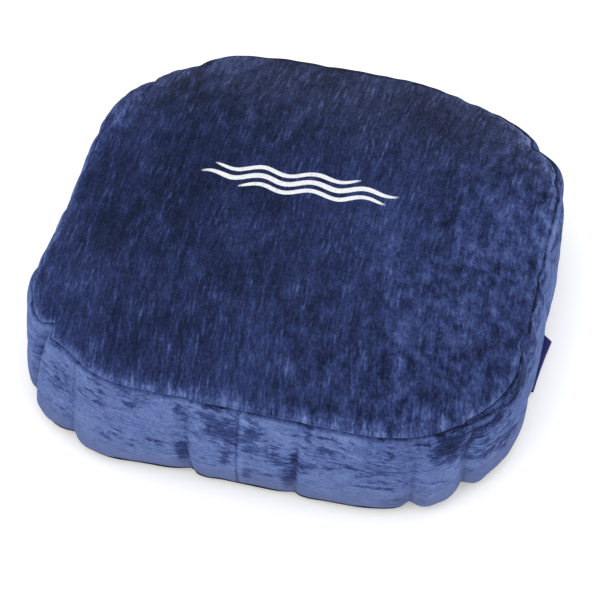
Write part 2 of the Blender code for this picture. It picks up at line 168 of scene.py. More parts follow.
class Nodes:
    """Short names for building a material's node tree."""

    def __init__(self, name):
        self.material = bpy.data.materials.new(name)
        self.material.use_nodes = True
        self.nodes = self.material.node_tree.nodes
        self.links = self.material.node_tree.links
        self.shader = self.nodes["Principled BSDF"]

    def put(self, socket, value):
        if isinstance(value, bpy.types.NodeSocket):
            self.links.new(value, socket)
        else:
            socket.default_value = value

    def node(self, kind, output=0, settings=(), **values):
        made = self.nodes.new(kind)
        for key, value in dict(settings).items():
            setattr(made, key, value)
        for key, value in values.items():
            self.put(made.inputs[key.replace("_", " ")], value)
        return made.outputs[output]

    def place(self):
        return self.node("ShaderNodeTexCoord", "Object")

    def attribute(self, name, output="Fac"):
        return self.node("ShaderNodeAttribute", output, {"attribute_name": name})

    def math(self, operation, first, second=0.0, clamp=False):
        made = self.nodes.new("ShaderNodeMath")
        made.operation = operation
        made.use_clamp = clamp
        self.put(made.inputs[0], first)
        self.put(made.inputs[1], second)
        return made.outputs[0]

    def sum_of(self, total, *layers):
        """The total so far, plus each layer times its gain."""
        for layer, gain in layers:
            total = self.math("ADD", total, self.math("MULTIPLY", layer, gain))
        return total

    def scaled(self, vector, scale, offset=(0, 0, 0)):
        made = self.nodes.new("ShaderNodeMapping")
        self.put(made.inputs["Vector"], vector)
        made.inputs["Location"].default_value = offset
        made.inputs["Scale"].default_value = scale
        return made.outputs[0]

    def noise(self, vector, scale, offset=(0, 0, 0), detail=2.0, roughness=0.5):
        place = self.scaled(vector, scale, offset)
        return self.node("ShaderNodeTexNoise", "Fac", Vector=place, Scale=1.0, Detail=detail,
                         Roughness=roughness)

    def remap(self, value, low, high, to_low=0.0, to_high=1.0, kind="SMOOTHSTEP"):
        made = self.nodes.new("ShaderNodeMapRange")
        made.interpolation_type = kind
        for key, number in (("Value", value), ("From Min", low), ("From Max", high),
                            ("To Min", to_low), ("To Max", to_high)):
            self.put(made.inputs[key], number)
        return made.outputs[0]

    def ramp(self, value, stops):
        made = self.nodes.new("ShaderNodeValToRGB")
        self.put(made.inputs["Fac"], value)
        ramp = made.color_ramp
        while len(ramp.elements) < len(stops):
            ramp.elements.new(0.5)
        for element, (position, colour) in zip(ramp.elements, stops):
            element.position = position
            element.color = (*colour, 1)
        return made.outputs["Color"]

    def bump(self, height, distance, strength):
        made = self.node("ShaderNodeBump", "Normal", Strength=strength, Distance=distance,
                         Height=height)
        self.put(self.shader.inputs["Normal"], made)

    def finish(self, colour, roughness, **values):
        self.put(self.shader.inputs["Base Color"], colour)
        self.put(self.shader.inputs["Roughness"], roughness)
        for key, value in values.items():
            self.put(self.shader.inputs[key.replace("_", " ")], value)
        return self.material


# Pile colours from the darkest, painted for pile looked at end on, to the lightest, painted sheen
# for pile looked at from the side
PILE_STOPS = (
    (0.00, (0.0061, 0.0097, 0.0285)),
    (0.15, (0.0124, 0.0193, 0.0597)),
    (0.30, (0.0234, 0.0357, 0.1143)),
    (0.45, (0.0405, 0.0618, 0.1820)),
    (0.60, (0.0680, 0.1023, 0.2630)),
    (0.80, (0.1110, 0.1620, 0.3630)),
    (1.00, (0.1600, 0.2260, 0.4550)),
)


def plush_material(name, streak_gain, dash_gain, crush_gain):
    """Crushed chenille. Attributes of the mesh steer it: weave is the place on the cut cloth,
    along and across its ribs; pile is how light the pile looks, with painted sheen, shade and
    highlights;
    life is how strong its pattern is; worn is how crushed it is; desaturated is how much greyer it
    is made."""
    m = Nodes(name)
    weave = m.attribute("weave", "Vector")
    pile = m.attribute("pile")
    worn = m.attribute("worn")
    life = m.attribute("life")

    cluster = m.remap(m.noise(weave, (30, 60, 1), (9, 2, 0), detail=3, roughness=0.6),
                      0.36, 0.64, 0.25, 1.55, "LINEAR")
    streak = m.remap(m.noise(weave, (64, 450, 1), detail=3, roughness=0.62), 0.46, 0.74)
    streak = m.math("MULTIPLY", streak, cluster)
    rib = m.remap(m.noise(weave, (190, 560, 1), (31, 7, 0), detail=2), 0.30, 0.70, -1, 1, "LINEAR")
    wale = m.remap(m.noise(weave, (20, 170, 1), (6, 3, 0), detail=3), 0.32, 0.68, -1, 1, "LINEAR")
    cloud = m.remap(m.noise(weave, (20, 27, 1), (4, 9, 0), detail=3, roughness=0.55),
                    0.32, 0.68, -1, 1, "LINEAR")
    mottle = m.remap(m.noise(weave, (80, 115, 1), (14, 3, 0), detail=4, roughness=0.62),
                     0.34, 0.70, -0.8, 1.2, "LINEAR")
    grain = m.remap(m.noise(weave, (470, 520, 1), (2, 5, 0), detail=2), 0.3, 0.7, -1, 1, "LINEAR")
    blot = m.noise(weave, (105, 200, 1), (8, 1, 0), detail=4, roughness=0.70)
    stroke = m.noise(weave, (78, 470, 1), (3, 6, 0), detail=4, roughness=0.62)
    patch = m.noise(weave, (24, 34, 1), (5, 2, 0), detail=3, roughness=0.6)
    dash = m.math("MULTIPLY", worn, 0.066)
    dash = m.remap(m.sum_of(dash, (blot, 0.40), (stroke, 0.32), (patch, 0.28)), 0.524, 0.640)

    crushed = m.math("MULTIPLY", worn, crush_gain, clamp=True)
    upright = m.math("SUBTRACT", 1.0, m.math("MULTIPLY", crushed, 3.2), clamp=True)
    pattern = m.math("MULTIPLY", m.math("MULTIPLY", streak, upright), streak_gain)
    pattern = m.math("ADD", pattern, m.math("MULTIPLY", mottle, crushed))
    pattern = m.sum_of(pattern, (rib, 0.075), (wale, 0.065), (cloud, 0.075), (mottle, 0.07),
                       (grain, 0.090), (dash, -dash_gain))
    tone = m.math("ADD", pile, m.math("MULTIPLY", pattern, life), clamp=True)
    colour = m.ramp(tone, PILE_STOPS)
    # The colour is made greyer where the mesh asks, towards the side band's hem and the rear of the
    # top panel
    kept_saturation = m.math("SUBTRACT", 1.0, m.math("MULTIPLY", m.attribute("desaturated"), 0.13))
    colour = m.node("ShaderNodeHueSaturation", "Color", Saturation=kept_saturation, Color=colour)

    height = m.sum_of(m.math("MULTIPLY", streak, 0.6), (rib, 0.25), (grain, 0.12))
    m.bump(height, 0.0005, 0.7)
    return m.finish(colour, 0.92, Sheen_Weight=0.05, Sheen_Roughness=0.45,
                    Sheen_Tint=(0.40, 0.50, 1.0, 1), Specular_IOR_Level=0.05)


def speckled_material(name, light, dark, scale, roughness, relief, shares=(1, 1, 1), **values):
    """Colour between two tones and relief, both from fine noise. scale is in lumps per metre,
    and shares is how much of it holds along each axis."""
    m = Nodes(name)
    place = m.place()
    fine = m.noise(place, tuple(scale * share for share in shares), detail=4, roughness=0.65)
    broad = m.noise(place, (38, 38, 38), (3, 1, 7), detail=2)
    tint = m.sum_of(m.math("MULTIPLY", fine, 0.7), (broad, 0.3))
    m.bump(fine, relief, 0.8)
    worn = m.remap(fine, 0.3, 0.7, roughness - 0.06, roughness + 0.06, "LINEAR")
    return m.finish(m.ramp(tint, ((0.38, dark), (0.62, light))), worn, **values)


def chip_foam_material(name):
    """Reconstituted foam: chips of several foams pressed together."""
    m = Nodes(name)
    place = m.scaled(m.place(), (110, 110, 110))
    chips = m.node("ShaderNodeTexVoronoi", "Color", Vector=place, Scale=1.0, Randomness=1.0)
    chip = m.node("ShaderNodeSeparateColor", "Red", Color=chips)
    pores = m.noise(m.place(), (900, 900, 900), detail=3)
    tint = m.sum_of(m.math("MULTIPLY", chip, 0.85), (pores, 0.15))
    m.bump(pores, 0.0006, 0.8)
    stops = ((0.10, (0.16, 0.19, 0.25)), (0.35, (0.28, 0.33, 0.40)), (0.60, (0.36, 0.40, 0.44)),
             (0.85, (0.52, 0.50, 0.42)))
    return m.finish(m.ramp(tint, stops), 0.92)


def woven_material(name, light, dark, threads, roughness, relief, **values):
    """Plain weave of so many threads per metre along x or y and along z."""
    m = Nodes(name)
    place = m.place()
    apart = m.node("ShaderNodeSeparateXYZ", "X", Vector=place).node
    warp = m.math("ADD", apart.outputs["X"], apart.outputs["Y"])
    warp = m.math("SINE", m.math("MULTIPLY", warp, threads * math.tau))
    weft = m.math("SINE", m.math("MULTIPLY", apart.outputs["Z"], threads * math.tau))
    weave = m.math("MULTIPLY", warp, weft)
    wear = m.noise(place, (240, 240, 240), detail=4)
    tint = m.math("ADD", m.math("MULTIPLY", weave, 0.22), wear)
    m.bump(weave, relief, 0.8)
    return m.finish(m.ramp(tint, ((0.25, dark), (0.75, light))), roughness, **values)


def metal_material(name):
    """Nickel plate: fine brush lines, and duller where it has been handled."""
    m = Nodes(name)
    place = m.place()
    lines = m.noise(place, (300, 300, 6000), detail=3)
    handled = m.noise(place, (260, 260, 260), (1, 5, 2), detail=3)
    m.bump(lines, 0.00005, 0.5)
    colour = m.ramp(handled, ((0.35, (0.34, 0.35, 0.38)), (0.65, (0.50, 0.51, 0.53))))
    return m.finish(colour, m.remap(handled, 0.3, 0.7, 0.22, 0.42, "LINEAR"), Metallic=1.0)


def thread_material(name):
    """White satin-stitch thread, slightly uneven in tone."""
    m = Nodes(name)
    place = m.place()
    tone = m.noise(place, (1400, 260, 260), detail=3)
    m.bump(tone, 0.0002, 0.6)
    colour = m.ramp(tone, ((0.32, (0.66, 0.68, 0.76)), (0.60, (0.93, 0.94, 0.96))))
    return m.finish(colour, 0.45, Sheen_Weight=0.25, Sheen_Roughness=0.4)


def grip_material(name):
    """Black knitted non-slip cloth."""
    m = Nodes(name)
    place = m.place()
    knit = m.noise(place, (500, 1500, 500), detail=3)
    dust = m.noise(place, (60, 60, 60), (2, 8, 4), detail=4)
    m.bump(knit, 0.0003, 0.7)
    tint = m.sum_of(m.math("MULTIPLY", knit, 0.6), (dust, 0.4))
    colour = m.ramp(tint, ((0.35, (0.008, 0.008, 0.010)), (0.65, (0.022, 0.022, 0.026))))
    return m.finish(colour, 0.85)


# --- mesh helpers

def add_piece(name, mesh, material):
    piece = bpy.data.objects.new(name, mesh)
    link(piece)
    mesh.materials.clear()
    mesh.materials.append(material)
    mesh.shade_smooth()
    return piece


def stretch(piece, lower_body, upper_body, low, high):
    """Bake a piece's transform into its mesh."""
    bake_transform(piece)


def stand_for(node):
    """Hide the CAD node that a piece replaces."""
    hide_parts(node)


def coordinates(mesh):
    found = np.zeros(len(mesh.vertices) * 3)
    mesh.vertices.foreach_get("co", found)
    return found.reshape(-1, 3)


def set_coordinates(mesh, points):
    mesh.vertices.foreach_set("co", np.asarray(points, np.float32).ravel())
    mesh.update()


def slice_at(bm, level, **options):
    """Cut a bmesh along a level plane."""
    bmesh.ops.bisect_plane(bm, geom=bm.verts[:] + bm.edges[:] + bm.faces[:],
                           plane_co=(0, 0, level), **options)


def mesh_from(bm, name):
    """A new mesh from a bmesh, which is freed."""
    mesh = bpy.data.meshes.new(name)
    bm.to_mesh(mesh)
    bm.free()
    return mesh


def cad_mesh(node):
    """A copy of a CAD node's mesh, in place."""
    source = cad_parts[node]
    mesh = source.data.copy()
    mesh.transform(source.matrix_world)
    return mesh


def normals(mesh):
    found = np.zeros(len(mesh.vertices) * 3)
    mesh.vertex_normals.foreach_get("vector", found)
    return found.reshape(-1, 3)


def set_attribute(mesh, name, values):
    """Store a number or a vector for each vertex, for the material to read."""
    values = np.asarray(values, np.float32)
    kind, field = ("FLOAT_VECTOR", "vector") if values.ndim == 2 else ("FLOAT", "value")
    mesh.attributes.new(name, kind, "POINT").data.foreach_set(field, values.ravel())


def apply_modifiers(item):
    graph = bpy.context.evaluated_depsgraph_get()
    mesh = bpy.data.meshes.new_from_object(item.evaluated_get(graph))
    item.modifiers.clear()
    item.data = mesh


def subdivide(item, levels):
    modifier = item.modifiers.new("subdivision", "SUBSURF")
    modifier.levels = levels
    modifier.render_levels = levels
    apply_modifiers(item)


def field(points, scale, seed):
    """Smooth noise of about -1 to 1 at each point, with lumps about scale wide."""
    shift = Vector((seed * 7.31, seed * 3.17, seed * 5.77))
    return np.array([noise.noise(Vector(point) / scale + shift) for point in points]) * 1.6


# --- cover geometry

def outline_points(turn, half, corner_r):
    """Points of a rounded square. Turn 0, 1, 2 and 3 are the middles of the front, right,
    rear and left sides, and turn grows evenly with the length of the outline."""
    turn = np.asarray(turn, float)
    quadrant = np.floor(turn)
    run = half - corner_r
    arc = corner_r * math.pi / 2
    along = (turn - quadrant) * (2 * run + arc)
    angle = np.clip((along - run) / np.maximum(corner_r, 1e-9), 0, math.pi / 2)
    x = np.minimum(along, run) + corner_r * np.sin(angle)
    y = -half + corner_r * (1 - np.cos(angle)) + np.maximum(along - run - arc, 0)
    turned = quadrant * math.pi / 2
    return (x * np.cos(turned) - y * np.sin(turned), x * np.sin(turned) + y * np.cos(turned))


def turn_of(points):
    """The turn of the outline that lies nearest to each point of the cover."""
    x, y = points[:, 0], points[:, 1]
    quadrant = np.select([-y >= np.abs(x), x >= np.abs(y), y >= np.abs(x)], [0, 1, 2], 3)
    turned = -quadrant * math.pi / 2
    u = x * np.cos(turned) - y * np.sin(turned)
    v = -(x * np.sin(turned) + y * np.cos(turned))
    corner = np.arctan2(np.maximum(np.abs(u) - RUN, 0), np.maximum(v - RUN, 1e-9))
    along = np.sign(u) * (np.minimum(np.abs(u), RUN) + CORNER_R * corner)
    return (quadrant + along / QUARTER) % 4


def outward(turn):
    """Unit vectors pointing straight out of the side band, level with the floor."""
    quadrant = np.floor(turn)
    along = (turn - quadrant) * QUARTER
    angle = np.clip((along - RUN) / CORNER_R, 0, math.pi / 2) + quadrant * math.pi / 2
    return np.stack([np.sin(angle), -np.cos(angle), np.zeros_like(angle)], 1)


def inset_of(points):
    """Distance in from the outline of the cushion, level with the floor."""
    past = np.abs(points[:, :2]) - RUN
    outside = np.linalg.norm(np.maximum(past, 0), axis=1)
    return CORNER_R - outside - np.minimum(past.max(axis=1), 0)


def turns_apart(turn, other):
    """How far turn lies past other, from -2 to 2, in metres along the outline."""
    return ((turn - other + 2) % 4 - 2) * QUARTER


def panel_grid(edge_inset, height_at):
    """Points of a square panel of cloth fitted to the outline, ring by ring from its edge,
    as an array [i][j] from the front left corner. height_at gives the height at an inset."""
    points = np.zeros((CELLS + 1, CELLS + 1, 3))
    middle = CELLS // 2
    for i in range(CELLS + 1):
        for j in range(CELLS + 1):
            u, v = i - middle, j - middle
            ring = max(abs(u), abs(v))
            if ring == 0:
                turn = 0.0
            elif -v == ring:
                turn = u / ring / 2
            elif u == ring:
                turn = 1 + v / ring / 2
            elif v == ring:
                turn = 2 - u / ring / 2
            else:
                turn = 3 - v / ring / 2
            share = ring / middle
            half = (HALF - edge_inset) * share
            x, y = outline_points(turn % 4, half, (CORNER_R - edge_inset) * share ** SQUARENESS)
            points[i, j] = (x, y, height_at(HALF - edge_inset - half))
    return points


def rim_cells():
    """Grid places of the panel's edge, in step with turn, from the middle of the front."""
    cells = []
    for column in range(4 * CELLS):
        side, step = divmod(column + CELLS // 2, CELLS)
        cells.append(((step, 0), (CELLS, step), (CELLS - step, CELLS), (0, CELLS - step))[side % 4])
    return cells


def crown_height(inset):
    """Height of the top panel before it swells: a small roll at its edge, then the crown."""
    roll = EDGE_ROLL * (1 - math.exp(-inset / EDGE_ROLL_REACH))
    reach = min(inset / CROWN_REACH, 1.0)
    rise = CROWN - TOP_SEAM - EDGE_ROLL - SWELL
    return TOP_SEAM + roll + rise * (1 - (1 - reach) ** CROWN_POWER)


def boxing_rows():
    """Heights and insets of the side band's rows, bottom seam to top seam."""
    heights = [BOTTOM_SEAM, (BOTTOM_SEAM + OPENING_LOW) / 2, OPENING_LOW,
               (OPENING_LOW + OPENING_HIGH) / 2, *np.linspace(OPENING_HIGH, TOP_SEAM, UPPER_ROWS)]
    rows = []
    for z in heights:
        tuck = BOTTOM_INSET * (1 - smooth(BOTTOM_SEAM, BOTTOM_SEAM + TUCK_REACH, z))
        share = min(max((z - LEAN_START) / (TOP_SEAM - LEAN_START), 0), 1)
        room = SIDE_SWELL * math.sin(math.pi * band_share(z))
        rows.append((float(z), float(tuck + TOP_INSET * share ** 2 + room)))
    return rows


PANELS = ("top", "right", "left", "zip_upper", "zip_lower", "opening")


def panel_of(turn, z):
    """Which panel of the cover a cell of the side band belongs to."""
    if not ZIP_START < turn < ZIP_END:
        return PANELS.index("right" if turn < 2 else "left")
    if z < OPENING_LOW:
        return PANELS.index("zip_lower")
    return PANELS.index("zip_upper" if z > OPENING_HIGH else "opening")


def cover_mesh():
    """The cover as one sheet, from the bottom seam up. Returns the object and the numbers of
    its vertices on each seam. Each face holds the number of its panel."""
    rows = boxing_rows()
    turns = np.arange(4 * CELLS) / CELLS
    grid = panel_grid(rows[-1][1], crown_height)
    bm = bmesh.new()
    panel = bm.faces.layers.int.new("panel")
    top = [[bm.verts.new(grid[i, j]) for j in range(CELLS + 1)] for i in range(CELLS + 1)]
    for i in range(CELLS):
        for j in range(CELLS):
            bm.faces.new((top[i][j], top[i + 1][j], top[i + 1][j + 1], top[i][j + 1]))
    rings = []
    for z, inset in rows[:-1]:
        x, y = outline_points(turns, HALF - inset, CORNER_R - inset)
        rings.append([bm.verts.new((x[c], y[c], z)) for c in range(4 * CELLS)])
    rings.append([top[i][j] for i, j in rim_cells()])
    for lower, upper in zip(rings, rings[1:]):
        for c in range(4 * CELLS):
            after = (c + 1) % (4 * CELLS)
            face = bm.faces.new((lower[c], lower[after], upper[after], upper[c]))
            middle = (lower[c].co.z + upper[c].co.z) / 2
            face[panel] = panel_of((c + 0.5) / CELLS, middle)
    bm.verts.index_update()
    numbers = {
        "bottom": [v.index for v in rings[0]],
        "top": [v.index for v in rings[-1]],
        "band": [v.index for ring in rings[:-1] for v in ring],
        "zip": [v.index for ring in rings[2:5] for c, v in enumerate(ring)
                if ZIP_START <= c / CELLS <= ZIP_END],
    }
    cover = bpy.data.objects.new("cover", mesh_from(bm, "cover"))
    link(cover)
    return cover, numbers


SIM_FRAMES = 25
TRAVEL = 0.0055  # furthest that a point of the cloth may move


def simulate_cover(cover, numbers):
    """Let the sewn cloth swell: the seams hold, and the side band is cut a little long."""
    pins = cover.vertex_groups.new(name="pins")
    for seam in ("bottom", "top", "zip"):
        pins.add(numbers[seam], 1.0, "REPLACE")
    long_cut = cover.vertex_groups.new(name="long_cut")
    long_cut.add(numbers["band"], 1.0, "REPLACE")
    cloth = cover.modifiers.new("cloth", "CLOTH")
    cloth.point_cache.frame_start = 1
    cloth.point_cache.frame_end = SIM_FRAMES
    settings = cloth.settings
    settings.quality = 6
    settings.mass = 0.15
    settings.tension_stiffness = 12
    settings.compression_stiffness = 12
    settings.shear_stiffness = 6
    settings.bending_stiffness = 0.02
    settings.use_pressure = True
    settings.uniform_pressure_force = 3
    settings.vertex_group_mass = "pins"
    settings.vertex_group_shrink = "long_cut"
    settings.shrink_min = -0.003
    settings.shrink_max = -0.045
    settings.effector_weights.gravity = 0
    cloth.collision_settings.use_self_collision = False
    before = coordinates(cover.data)
    for number in range(1, SIM_FRAMES + 1):
        bpy.context.scene.frame_set(number)
    apply_modifiers(cover)
    bpy.context.scene.frame_set(1)
    travel = coordinates(cover.data) - before
    length = np.linalg.norm(travel, axis=1, keepdims=True)
    set_coordinates(cover.data, before + travel * np.minimum(1, TRAVEL / np.maximum(length, 1e-9)))


# Creases of the side band: turn at the top and bottom seam, depth, width of the gentle and
# of the steep side, and the share of the depth that is left at the top and bottom seam
CREASES = (
    (-0.118, -0.103, 0.0036, 0.01, 0.0024, 0.3, 0.9),
    (0.128, 0.124, 0.0034, 0.007, 0.0024, 0.15, 0.55),
    (-0.53, -0.545, 0.0075, 0.004, 0.007, 1.0, 0.5),
    (-0.388, -0.392, 0.0038, 0.009, 0.007, 0.0, 1.0),
    (0.385, 0.38, 0.004, 0.0055, 0.005, 0.0, 1.0),
    (0.53, 0.515, 0.006, 0.009, 0.007, 0.05, 1.0),
    (1.47, 1.46, 0.005, 0.006, 0.006, 0.6, 0.5),
    (1.32, 1.31, 0.0018, 0.005, 0.006, 0.8, 0.5),
    (1.0, 1.01, 0.002, 0.006, 0.006, 1.0, 0.2),
    (0.79, 0.8, 0.0024, 0.007, 0.006, 0.8, 0.6),
    (2.42, 2.43, 0.0045, 0.006, 0.005, 0.7, 0.9),
    (2.56, 2.57, 0.004, 0.006, 0.006, 0.9, 0.6),
    (3.06, 3.05, 0.003, 0.008, 0.005, 0.4, 0.9),
    (3.25, 3.27, 0.0028, 0.006, 0.005, 0.7, 0.6),
    (2.8, 2.79, 0.003, 0.006, 0.007, 0.3, 0.9),
)

# Bulges of the side band: turn, height as a share, how far out, and reach along and up
BULGES = (
    (-0.47, 0.1, 0.002, 0.022, 0.4),
    (-0.3, 0.05, 0.0018, 0.02, 0.35),
    (0.445, 0.15, 0.001, 0.014, 0.35),
    (0.63, 0.15, 0.0002, 0.024, 0.4),
    (0.45, 0.62, 0.0016, 0.022, 0.14),
    (-0.82, 0.6, -0.0016, 0.026, 0.5),
    (-0.65, 0.6, -0.0018, 0.016, 0.4),
    (-1.2, 0.75, 0.003, 0.045, 0.45),
    (0.36, 0.2, -0.0018, 0.04, 0.6),
    (0.56, 0.2, -0.0026, 0.03, 0.6),
    (1.4, 0.8, 0.0052, 0.018, 0.2),
    (1.545, 0.8, 0.0056, 0.02, 0.2),
)

RUMPLED = 0.52  # the middle of the rumpled corner, as a turn

# Where the top seam is drawn in: turn, how far, and reach along
DRAWN_IN = ((-0.44, 0.0058, 0.034), (1.51, 0.006, 0.045), (2.45, 0.002, 0.03))


def band_push(turn, height):
    """How far creases and bulges move the side band out, by turn and share of its height."""
    push = np.zeros(len(turn))
    for top, bottom, depth, gentle, steep, at_top, at_bottom in CREASES:
        across = turns_apart(turn, bottom + (top - bottom) * height)
        width = np.where(across < 0, gentle, steep)
        share = np.where(height > 0.5, 1 + (at_top - 1) * smooth(0.5, 1, height),
                         1 + (at_bottom - 1) * smooth(0.5, 0, height))
        push -= depth * share * np.exp(-np.abs(across / width) ** 1.5)
        push += 0.22 * depth * share * bump(across, 0.011, 0.006)
    for middle, at_height, amount, along, up in BULGES:
        push += amount * bump(turns_apart(turn, middle), 0, along) * bump(height, at_height, up)
    corner = turns_apart(turn, RUMPLED)
    folds = np.sin(height * 42 + corner * 60) + 0.6 * np.sin(height * 23 - corner * 95)
    push += 0.0007 * folds * bump(corner, 0, 0.036) * smooth(0.45, 0.75, height)
    return push


def crease_shade(turn, height):
    """Painted shade in the creases, as how dark the pile looks: a thin line, and a soft shade on one
    side.
    """
    shade = np.zeros(len(turn))
    for top, bottom, depth, gentle, steep, at_top, at_bottom in CREASES:
        across = turns_apart(turn, bottom + (top - bottom) * height)
        share = at_bottom + (at_top - at_bottom) * height
        strength = min(depth / 0.0036, 1.0) * (0.35 + 0.65 * share)
        shade += strength * (bump(across, 0.0, 0.0014) + 0.35 * bump(across, -0.004, 0.004))
    return np.minimum(shade, 1.2)


def seam_draw(turn):
    """How far the top seam is drawn in."""
    return sum(amount * bump(turns_apart(turn, middle), 0, reach)
               for middle, amount, reach in DRAWN_IN)


def rear_fullness(points):
    """How far the overfull rear edge stands up."""
    x, y, z = points.T
    along = smooth(-0.150, -0.045, x) * smooth(0.110, 0.035, x)
    full = 0.0075 * along * bump(np.minimum(y, 0.165), 0.165, 0.050)
    full += 0.0030 * bump(np.maximum(x, -0.165), -0.165, 0.040) * bump(y, 0.055, 0.055)
    return full * smooth(0.035, 0.072, z)


def seam_crispness(turn):
    """How clearly the top seam shows, from 0 to 1: less where the plush is pushed over it."""
    hidden = 0.85 * bump(turns_apart(turn, RUMPLED), 0, 0.060)
    hidden += 0.90 * bump(turns_apart(turn, 3.0), 0, 0.160)
    return 1 - np.minimum(hidden, 0.95)


def hem_line(turn):
    """How far the bottom seam is lifted: up at each pleat, down at each bulge."""
    return -0.45 * band_push(turn, np.zeros(len(turn)))


def sculpt_cover(cover):
    """Creases, pleats, seam grooves and crush marks, pressed into the swollen cloth."""
    mesh = cover.data
    points = coordinates(mesh)
    turn = turn_of(points)
    out = outward(turn)
    height = np.clip(band_share(points[:, 2]), 0, 1)
    side = 1 - smooth(TOP_SEAM - 0.001, TOP_SEAM + 0.004, points[:, 2])
    past_seam = np.maximum(inset_of(points) - TOP_INSET, 0)
    draw = seam_draw(turn) * np.where(side > 0.5, smooth(0.30, 1.0, height),
                                      bump(past_seam, 0, 0.035))
    points = points + out * (band_push(turn, height) * side - draw)[:, None]
    points[:, 2] += hem_line(turn) * (1 - height) ** 3
    full = rear_fullness(points)
    points[:, 1] += 0.45 * full
    points[:, 2] += full

    set_coordinates(mesh, points)
    facing = normals(mesh)
    near_top = np.abs(points[:, 2] - TOP_SEAM) * side + past_seam * (1 - side)
    crush = 0.0007 * field(points, 0.035, 1) + 0.00030 * field(points, 0.012, 2)
    along = np.stack([turn * QUARTER, 0 * turn, 0 * turn], 1)
    crush += 0.0009 * field(along, 0.011, 3) * np.exp(-near_top / 0.010)
    groove = 0.0016 * seam_crispness(turn) * np.exp(-(near_top / 0.0020) ** 1.4)
    groove += 0.0010 * np.exp(-(np.abs(points[:, 2] - BOTTOM_SEAM) / 0.0020) ** 1.4)
    at_zip = bump(points[:, 0], 0, 0.095) * (points[:, 1] > 0) * (points[:, 2] < 0.030)
    points = points + facing * (crush * (1 - 0.9 * at_zip) - groove)[:, None]
    set_coordinates(mesh, points)


def hem(bm, edges, depth):
    """Turn the cut edge of a panel in by a depth, as its seam allowance."""
    made = bmesh.ops.extrude_edge_only(bm, edges=edges)
    new = [item for item in made["geom"] if isinstance(item, bmesh.types.BMVert)]
    new_edges = [item for item in made["geom"] if isinstance(item, bmesh.types.BMEdge)]
    moves = []
    for vert in new:
        source = next(edge.other_vert(vert) for edge in vert.link_edges if edge not in new_edges)
        moves.append((vert, -source.normal * depth))
    for vert, move in moves:
        vert.co += move


HEM_DEPTH = 0.0030  # of the cut edges that are turned in


def panel_piece(cover, panel_name):
    """A panel of the cover as a mesh of its own, with its edges turned in."""
    bm = bmesh.new()
    bm.from_mesh(cover.data)
    layer = bm.faces.layers.int["panel"]
    wanted = PANELS.index(panel_name)
    gone = [face for face in bm.faces if face[layer] != wanted]
    bmesh.ops.delete(bm, geom=gone, context="FACES")
    if panel_name != "top":
        for level in LEVELS[1:3]:
            slice_at(bm, level, plane_no=(0, 0, 1))
    bm.normal_update()
    hem(bm, [edge for edge in bm.edges if edge.is_boundary], HEM_DEPTH)
    bm.normal_update()
    return mesh_from(bm, panel_name)


# Crushed patches of the side band: turn, height, reach along and up, and strength
MARKS = (
    (-0.065, 0.062, 0.012, 0.01, 1.4),
    (-0.02, 0.052, 0.008, 0.016, 1.3),
    (0.034, 0.06, 0.005, 0.014, 1.6),
    (0.1, 0.044, 0.022, 0.01, 0.7),
    (0.075, 0.024, 0.01, 0.003, 1.4),
    (0.15, 0.066, 0.003, 0.005, 1.8),
    (0.205, 0.058, 0.01, 0.006, 0.9),
    (0.25, 0.046, 0.02, 0.004, 0.8),
    (0.33, 0.044, 0.024, 0.006, 0.7),
    (0.3, 0.028, 0.026, 0.002, 1.2),
    (0.33, 0.014, 0.009, 0.004, 2.2),
    (0.022, 0.019, 0.004, 0.009, 2.8),
    (-0.025, 0.034, 0.004, 0.006, 1.7),
    (-0.12, 0.024, 0.004, 0.014, 3.0),
    (0.112, 0.018, 0.005, 0.012, 2.2),
    (0.124, 0.036, 0.003, 0.02, 1.2),
    (-0.235, 0.062, 0.008, 0.008, 1.6),
    (-0.305, 0.06, 0.007, 0.008, 1.3),
    (-0.13, 0.064, 0.004, 0.006, 1.5),
    (-0.17, 0.036, 0.016, 0.003, 1.0),
    (-0.44, 0.052, 0.012, 0.01, 0.8),
    (0.45, 0.063, 0.014, 0.01, 1.9),
    (0.395, 0.016, 0.005, 0.008, 1.6),
    (0.55, 0.06, 0.02, 0.01, 1.3),
    (0.5, 0.04, 0.01, 0.006, 1.1),
    (0.57, 0.036, 0.012, 0.008, 1.2),
    (0.62, 0.046, 0.022, 0.018, 0.7),
    (0.64, 0.026, 0.012, 0.01, 1.2),
    (0.7, 0.067, 0.03, 0.006, 1.3),
    (0.82, 0.066, 0.04, 0.008, 1.3),
    (0.96, 0.064, 0.04, 0.01, 1.1),
    (1.2, 0.064, 0.03, 0.01, 1.0),
    (1.4, 0.066, 0.03, 0.012, 1.6),
    (1.55, 0.066, 0.03, 0.012, 1.6),
)

# Broad tones of the top panel: place across and along and reach, as shares of its half width,
# and how much lighter
TONES = (
    (-0.6, 0.0, 0.4, -0.09),
    (-0.5, 0.5, 0.2, -0.07),
    (-0.5, 0.8, 0.2, 0.08),
    (-0.8, -0.6, 0.2, 0.07),
    (-0.1, -0.8, 0.2, 0.05),
    (0.3, 0.1, 0.2, 0.07),
    (0.6, -0.2, 0.3, 0.05),
    (0.9, 0.2, 0.2, 0.14),
    (0.7, -0.8, 0.2, -0.04),
)

SPOTS = 26  # small crushed spots, scattered over the top panel
SPOT_SEED = 1
SPOT_REACH = (0.010, 0.020)
SPOT_AMOUNT = 0.06


def crushed_spots(x, y):
    """How much the small crushed spots lighten or darken the pile of the top panel."""
    draw = np.random.default_rng(SPOT_SEED)
    lighter = np.zeros(len(x))
    for _ in range(SPOTS):
        across, along = draw.uniform(-HALF, HALF, 2)
        reach = draw.uniform(*SPOT_REACH)
        amount = draw.uniform(-SPOT_AMOUNT, SPOT_AMOUNT)
        lighter += amount * np.exp(-((x - across) ** 2 + (y - along) ** 2) / reach ** 2)
    return lighter
